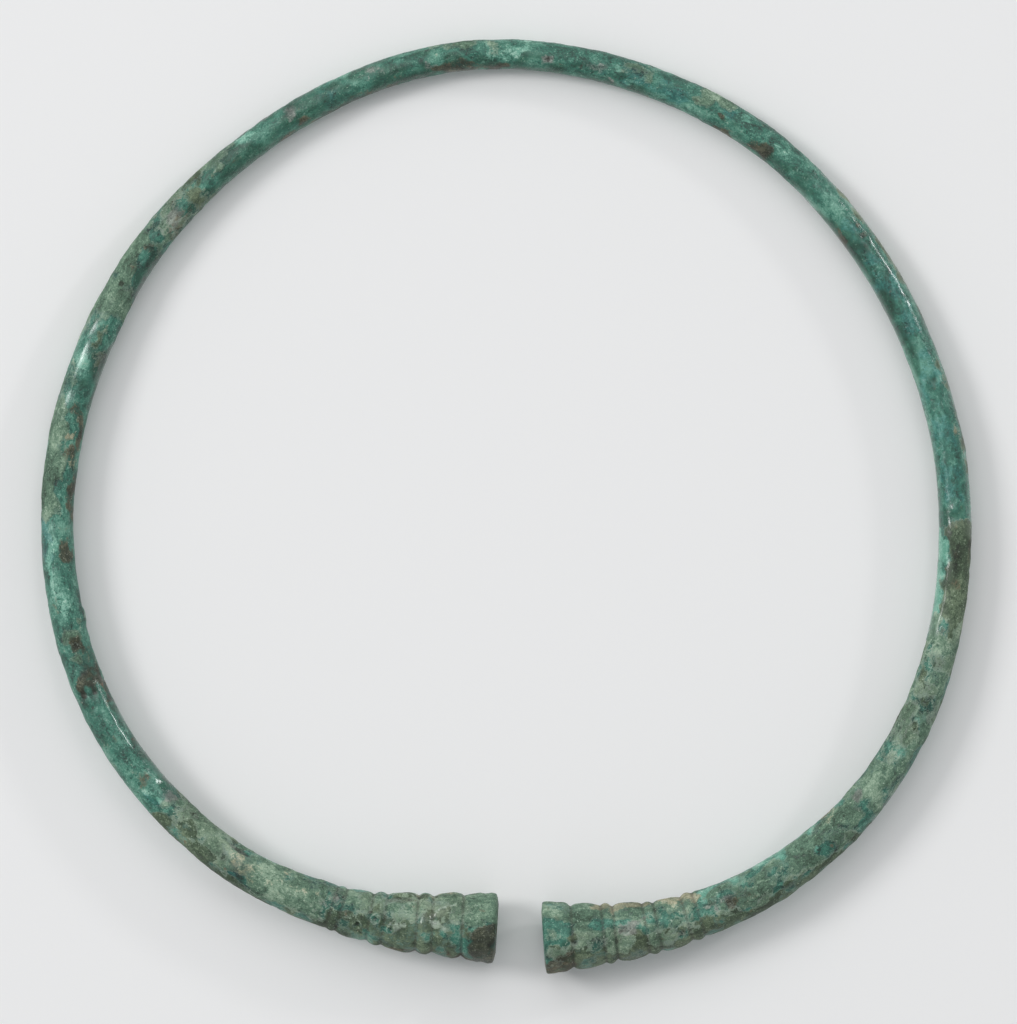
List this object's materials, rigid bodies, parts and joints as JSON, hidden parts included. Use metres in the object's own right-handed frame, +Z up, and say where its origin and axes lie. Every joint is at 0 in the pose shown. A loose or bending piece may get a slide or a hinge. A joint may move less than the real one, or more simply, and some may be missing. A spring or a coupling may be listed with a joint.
{
  "type": "bronze torc",
  "caption": "Cast bronze neck ring: an open, slightly uneven hoop of round bar that thickens to moulded terminals facing each other across a narrow gap, under a green patina.",
  "frame": {"origin": "on the ground under the middle of the ring's bounding box, the ring lying flat", "axes": "+Z up, the gap between the terminals towards -Y, the slim back of the hoop towards +Y"},
  "size_m": [0.1504, 0.151, 0.0119],
  "materials": {
    "patinated_bronze": "corroded bronze: smooth glossy teal-green patina with matt sage, ochre and brown crust"
  },
  "bodies": {
    "root": {"torc": "patinated_bronze"}
  },
  "joints": []
}
